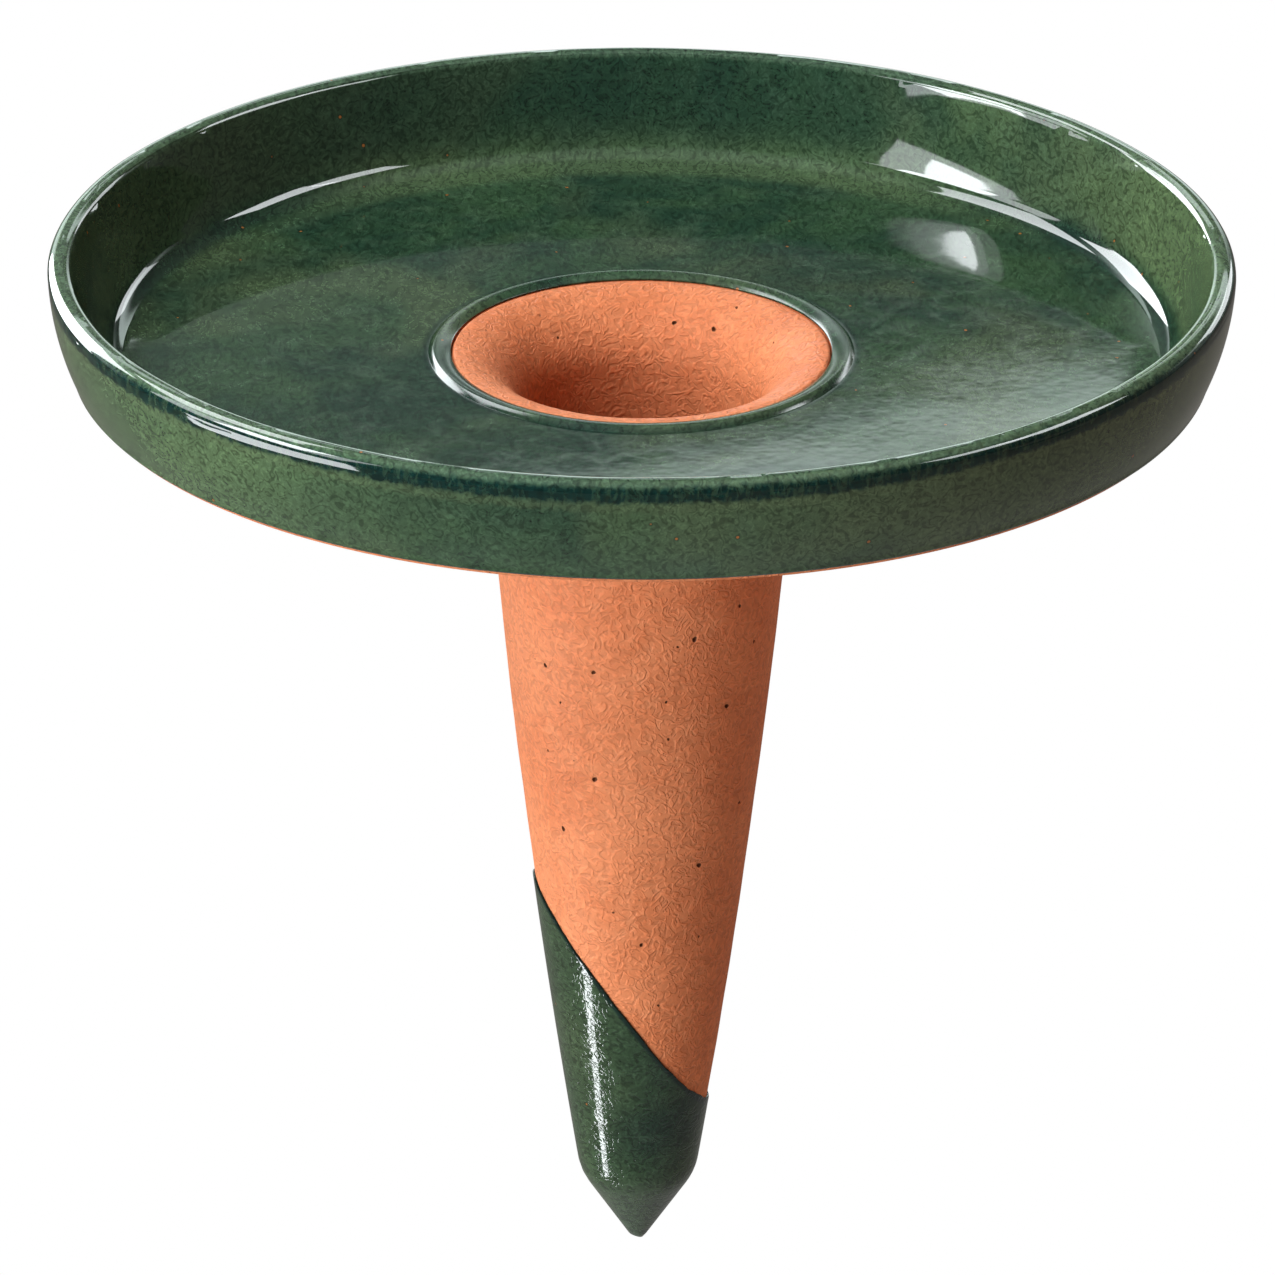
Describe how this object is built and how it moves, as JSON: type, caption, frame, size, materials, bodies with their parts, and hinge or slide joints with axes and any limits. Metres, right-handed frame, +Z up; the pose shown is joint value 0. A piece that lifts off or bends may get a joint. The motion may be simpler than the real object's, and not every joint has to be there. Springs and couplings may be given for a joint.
{
  "type": "self watering spike",
  "caption": "Glazed round dish with a raised collar and a hollow porous terracotta spike that hangs in its centre and points down into the soil.",
  "frame": {"origin": "on the shared axis, level with the dish's flat underside, which lies on the soil", "axes": "+Z up along the axis of the dish and the spike; X and Y level; the dipped glaze on the tip reaches highest towards -X"},
  "size_m": [0.22, 0.22, 0.2054],
  "materials": {
    "terracotta": "bare, finely pitted low-fired clay",
    "green_glaze": "glossy mottled green glaze",
    "silicone": "soft matt silicone"
  },
  "bodies": {
    "dish": {"dish_body": "terracotta", "dish_glaze": "green_glaze"},
    "seal": {"seat_seal": "silicone"},
    "spike": {"spike_body": "terracotta", "tip_glaze": "green_glaze"}
  },
  "joints": [
    {"name": "seat_turn", "type": "hinge", "parent": "dish", "child": "seal", "pos_m": [0, 0, 0], "axis": [0, 0, 1], "continuous": true},
    {"name": "spike_lift", "type": "slide", "parent": "seal", "child": "spike", "axis": [0, 0, 1], "range_m": [0, 0.21]}
  ]
}
